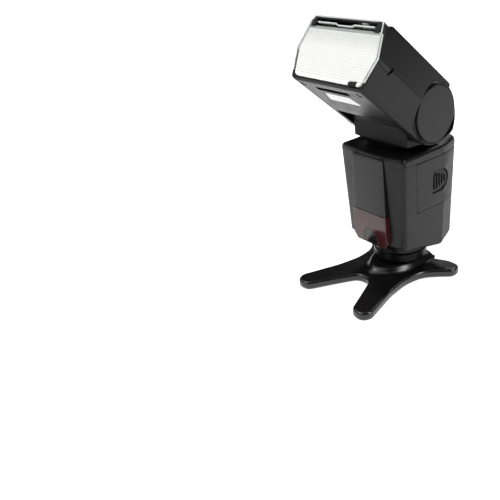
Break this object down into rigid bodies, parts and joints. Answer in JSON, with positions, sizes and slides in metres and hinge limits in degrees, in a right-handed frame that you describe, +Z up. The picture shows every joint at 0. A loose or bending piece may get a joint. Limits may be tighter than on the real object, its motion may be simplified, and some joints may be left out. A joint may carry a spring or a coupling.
{
  "type": "speedlight flash",
  "caption": "Camera speedlight with tilting and panning zoom head, battery door, rear controls and hot-shoe foot, standing on its mini stand.",
  "frame": {"origin": "on the resting plane of the stand, under the pan axis of the head", "axes": "+Z up; the lamp and the front of the body face -Y; the battery door is on +X"},
  "size_m": [0.0876, 0.1116, 0.1966],
  "materials": {
    "satin_black_plastic": "satin, finely textured",
    "matte_black_plastic": "matte",
    "gloss_black_panel": "polished",
    "stand_black_plastic": "satin",
    "red_window_plastic": "translucent dark red",
    "dark_sensor_plastic": "nearly opaque dark red",
    "clear_plastic": "clear",
    "white_plastic": "matte white",
    "black_rubber": "matte",
    "plated_steel": "plated",
    "brass": "turned",
    "gold_contact": "gold plated",
    "bright_reflector": "polished",
    "circuit_board": "solder mask",
    "copper_winding": "enamelled copper",
    "cell_sleeve": "plain printed sleeve",
    "button_grey": "matte",
    "lcd_glass": "grey-green display",
    "lamp_amber": "amber"
  },
  "bodies": {
    "stand": {"stand_base": "stand_black_plastic"},
    "flash_body": {"mounting_foot": "satin_black_plastic", "foot_contacts": "gold_contact", "body_front_shell": "satin_black_plastic", "body_rear_shell": "satin_black_plastic", "body_top_cover": "satin_black_plastic", "front_panel": "gloss_black_panel", "af_assist_window": "red_window_plastic", "sensor_window": "dark_sensor_plastic", "assist_lamps": "clear_plastic", "door_hinge_pin": "plated_steel", "battery_tray": "matte_black_plastic", "battery_cell_1": "cell_sleeve", "battery_cell_2": "cell_sleeve", "battery_cell_3": "cell_sleeve", "battery_cell_4": "cell_sleeve", "main_capacitor": "matte_black_plastic", "inverter_transformer": "copper_winding", "main_board": "circuit_board", "display_window": "clear_plastic", "display_panel": "lcd_glass", "sync_socket": "plated_steel", "ready_lamp": "lamp_amber"},
    "lock_collar": {"locking_collar": "satin_black_plastic"},
    "lock_pin": {"locking_pin": "plated_steel"},
    "door": {"battery_door": "satin_black_plastic", "door_contacts": "gold_contact"},
    "door_catch": {"door_latch": "matte_black_plastic"},
    "cover": {"terminal_cover": "black_rubber"},
    "yoke": {"head_yoke": "matte_black_plastic", "pan_retainer": "plated_steel"},
    "head": {"tilt_axle": "plated_steel", "head_upper_shell": "satin_black_plastic", "head_lower_shell": "satin_black_plastic", "tilt_cap_right": "satin_black_plastic", "tilt_cap_left": "satin_black_plastic", "fresnel_lens": "clear_plastic", "card_guide": "matte_black_plastic", "zoom_rails": "plated_steel", "zoom_motor": "plated_steel", "underside_cover": "gloss_black_panel", "head_screw_left": "plated_steel", "head_screw_right": "plated_steel"},
    "release_button": {"head_release_button": "button_grey"},
    "zoom_unit": {"zoom_carriage": "matte_black_plastic", "reflector": "bright_reflector", "flash_tube": "clear_plastic"},
    "lead_screw": {"zoom_lead_screw": "brass"},
    "wide_panel_slide": {"wide_panel": "clear_plastic"},
    "bounce_card_slide": {"bounce_card": "white_plastic"},
    "dial": {"selector_dial": "button_grey"},
    "confirm": {"confirm_button": "button_grey"},
    "switch": {"power_switch": "button_grey"},
    "function_button_1_key": {"function_button_1": "button_grey"},
    "function_button_2_key": {"function_button_2": "button_grey"},
    "function_button_3_key": {"function_button_3": "button_grey"},
    "mode_button_key": {"mode_button": "button_grey"},
    "zoom_button_key": {"zoom_button": "button_grey"},
    "test_button_key": {"test_button": "button_grey"}
  },
  "joints": [
    {"name": "stand_slide", "type": "slide", "parent": "stand", "child": "flash_body", "axis": [0, 1, 0], "range_m": [0, 0.03]},
    {"name": "foot_lock", "type": "hinge", "parent": "flash_body", "child": "lock_collar", "pos_m": [0, 0.003, 0.016], "axis": [0, 0, 1], "range_deg": [-60, 0]},
    {"name": "lock_pin_drop", "type": "slide", "parent": "flash_body", "child": "lock_pin", "axis": [0, 0, 1], "range_m": [-0.0023, 0]},
    {"name": "battery_door_swing", "type": "hinge", "parent": "flash_body", "child": "door", "pos_m": [0.02931, -0.011, 0.077], "axis": [-0.0398, 0.0786, -0.9961], "range_deg": [0, 92]},
    {"name": "door_latch_slide", "type": "slide", "parent": "door", "child": "door_catch", "axis": [0, 1, 0], "range_m": [0, 0.0013], "stiffness_N_per_m": 300},
    {"name": "terminal_cover_swing", "type": "hinge", "parent": "flash_body", "child": "cover", "pos_m": [-0.0301, -0.001, 0.048], "axis": [0, 0, 1], "range_deg": [0, 100]},
    {"name": "head_pan", "type": "hinge", "parent": "flash_body", "child": "yoke", "pos_m": [0, 0, 0.105], "axis": [0, 0, 1], "range_deg": [-180, 90]},
    {"name": "head_tilt", "type": "hinge", "parent": "yoke", "child": "head", "pos_m": [0, 0, 0.131], "axis": [1, 0, 0], "range_deg": [-50, 40]},
    {"name": "head_release_press", "type": "slide", "parent": "head", "child": "release_button", "axis": [1, 0, 0], "range_m": [0, 0.0013], "stiffness_N_per_m": 400},
    {"name": "zoom_travel", "type": "slide", "parent": "head", "child": "zoom_unit", "axis": [0, -0.766, 0.6428], "range_m": [0, 0.016]},
    {"name": "lead_screw_turn", "type": "hinge", "parent": "head", "child": "lead_screw", "pos_m": [0.008, -0.04833, 0.15119], "axis": [0, -0.766, 0.6428], "range_deg": [0, 721]},
    {"name": "wide_panel_pull", "type": "slide", "parent": "head", "child": "wide_panel_slide", "axis": [0, -0.766, 0.6428], "range_m": [0, 0.042]},
    {"name": "bounce_card_pull", "type": "slide", "parent": "head", "child": "bounce_card_slide", "axis": [0, -0.766, 0.6428], "range_m": [0, 0.042]},
    {"name": "dial_turn", "type": "hinge", "parent": "flash_body", "child": "dial", "pos_m": [0, 0.035, 0.045], "axis": [0, 1, 0], "continuous": true},
    {"name": "confirm_press", "type": "slide", "parent": "flash_body", "child": "confirm", "axis": [0, -1, 0], "range_m": [0, 0.0008], "stiffness_N_per_m": 500},
    {"name": "power_switch_turn", "type": "hinge", "parent": "flash_body", "child": "switch", "pos_m": [0.0166, 0.036, 0.0388], "axis": [0, 1, 0], "range_deg": [0, 50]},
    {"name": "function_button_1_press", "type": "slide", "parent": "flash_body", "child": "function_button_1_key", "axis": [0, -1, 0], "range_m": [0, 0.0008], "stiffness_N_per_m": 500},
    {"name": "function_button_2_press", "type": "slide", "parent": "flash_body", "child": "function_button_2_key", "axis": [0, -1, 0], "range_m": [0, 0.0008], "stiffness_N_per_m": 500},
    {"name": "function_button_3_press", "type": "slide", "parent": "flash_body", "child": "function_button_3_key", "axis": [0, -1, 0], "range_m": [0, 0.0008], "stiffness_N_per_m": 500},
    {"name": "mode_button_press", "type": "slide", "parent": "flash_body", "child": "mode_button_key", "axis": [0, -1, 0], "range_m": [0, 0.0008], "stiffness_N_per_m": 500},
    {"name": "zoom_button_press", "type": "slide", "parent": "flash_body", "child": "zoom_button_key", "axis": [0, -1, 0], "range_m": [0, 0.0008], "stiffness_N_per_m": 500},
    {"name": "test_button_press", "type": "slide", "parent": "flash_body", "child": "test_button_key", "axis": [0, -1, 0], "range_m": [0, 0.0008], "stiffness_N_per_m": 500}
  ],
  "couplings": [
    {"joint": "lock_pin_drop", "follows": "foot_lock", "m_per_rad": 0.00219},
    {"joint": "lead_screw_turn", "follows": "zoom_travel", "rad_per_m": 785.4}
  ]
}
